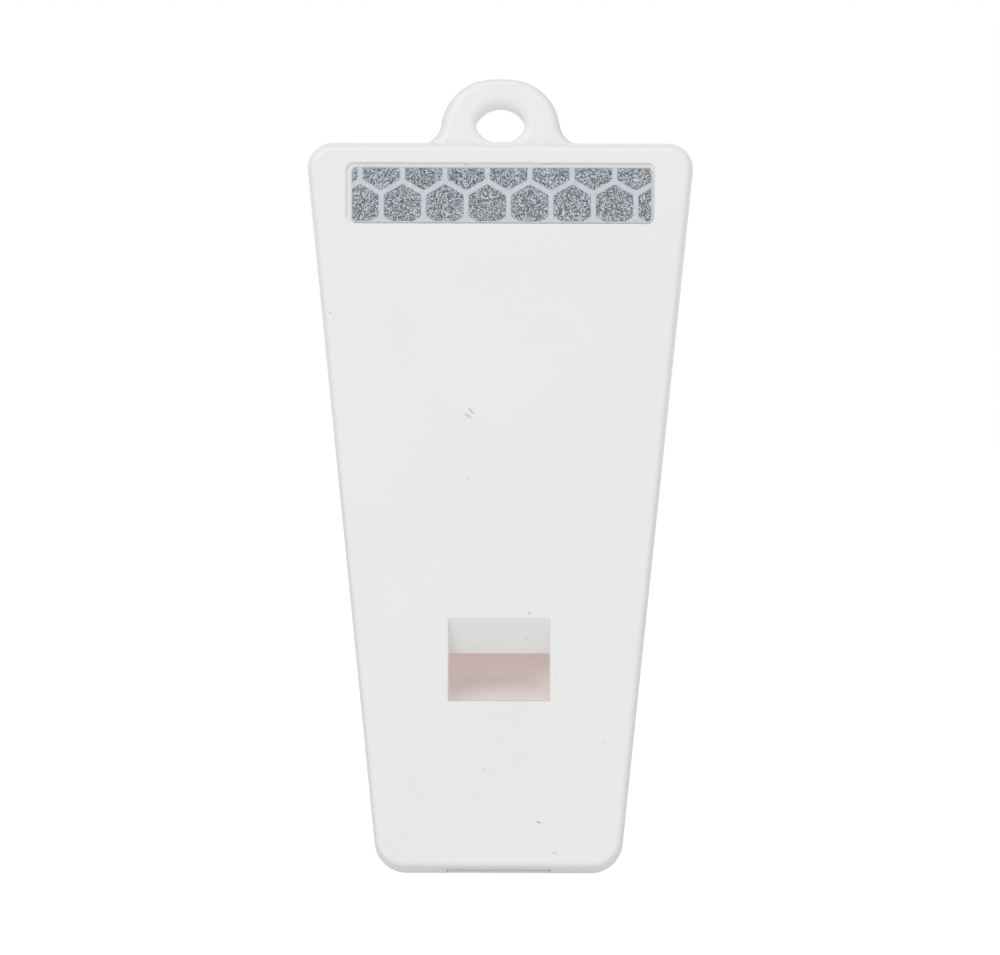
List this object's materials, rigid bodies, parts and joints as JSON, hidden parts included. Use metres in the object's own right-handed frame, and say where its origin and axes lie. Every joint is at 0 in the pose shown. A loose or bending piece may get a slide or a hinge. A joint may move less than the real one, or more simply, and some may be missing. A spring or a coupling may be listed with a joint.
{
  "type": "safety whistle",
  "caption": "Flat tapered pea-less whistle with a welded two-part shell, a rectangular sound window, a lanyard eye and a honeycomb reflective strip.",
  "frame": {"origin": "middle of the mouthpiece end's lowest edge, at mid thickness of the casing", "axes": "+Z from the mouthpiece end to the lanyard eye, -Y out of the front face with the sound window, +X to the right seen from the front"},
  "size_m": [0.03, 0.009, 0.062],
  "materials": {
    "front_plastic": "white moulded plastic, semi-gloss",
    "back_plastic": "white moulded plastic, semi-gloss",
    "adhesive": "clear acrylic adhesive",
    "reflector_base": "grey binder film",
    "beads": "metallised glass beads, grainy",
    "seal": "pale grey embossed seal lines",
    "cover_film": "clear glossy film"
  },
  "bodies": {
    "root": {"front_shell": "front_plastic", "back_shell": "back_plastic", "reflector_adhesive": "adhesive", "reflector_base": "reflector_base", "reflector_bead_cells": "beads", "reflector_seal_grid": "seal", "reflector_cover_film": "cover_film"}
  },
  "joints": []
}
